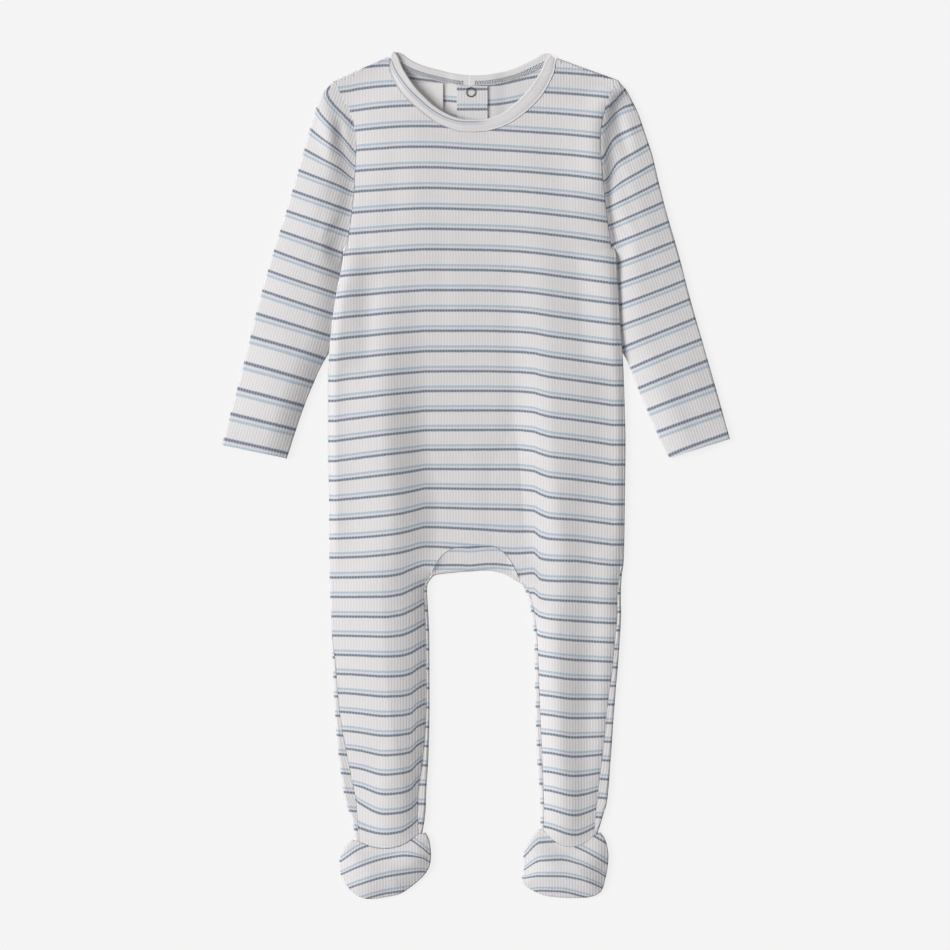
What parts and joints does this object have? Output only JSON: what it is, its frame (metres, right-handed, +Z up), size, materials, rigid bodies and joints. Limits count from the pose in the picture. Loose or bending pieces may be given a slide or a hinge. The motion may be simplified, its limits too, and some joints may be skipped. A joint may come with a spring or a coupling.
{
  "type": "baby romper",
  "caption": "Long-sleeved, footed baby romper in striped rib jersey, laid out flat on its back, with bound neckband, crotch gusset and snap placket at the back.",
  "frame": {"origin": "on the surface it lies on, under the middle of the garment's box", "axes": "+X to the right seen from above (the viewer's right), +Y from the feet towards the neck, +Z up, out of the front of the garment"},
  "size_m": [0.3836, 0.6412, 0.0077],
  "materials": {
    "rib_jersey": "off-white fine rib cotton jersey with thin double stripes, light blue over slate blue",
    "rib_binding": "plain off-white rib binding, folded double and coverstitched",
    "label_satin": "bare white woven satin label",
    "snap_metal": "nickel-plated open ring of a press stud, slightly dull"
  },
  "bodies": {
    "root": {"front": "rib_jersey", "back_left": "rib_jersey", "back_right": "rib_jersey", "sleeve_left": "rib_jersey", "sleeve_right": "rib_jersey", "neckband": "rib_binding", "gusset": "rib_jersey", "foot_upper_left": "rib_jersey", "foot_upper_right": "rib_jersey", "foot_sole_left": "rib_jersey", "foot_sole_right": "rib_jersey", "placket_strip": "rib_jersey", "label": "label_satin", "snap_ring_1": "snap_metal", "snap_ring_2": "snap_metal", "snap_ring_3": "snap_metal", "snap_ring_4": "snap_metal", "snap_ring_5": "snap_metal", "snap_cap_1": "snap_metal", "snap_cap_2": "snap_metal", "snap_cap_3": "snap_metal", "snap_cap_4": "snap_metal", "snap_cap_5": "snap_metal"}
  },
  "joints": []
}
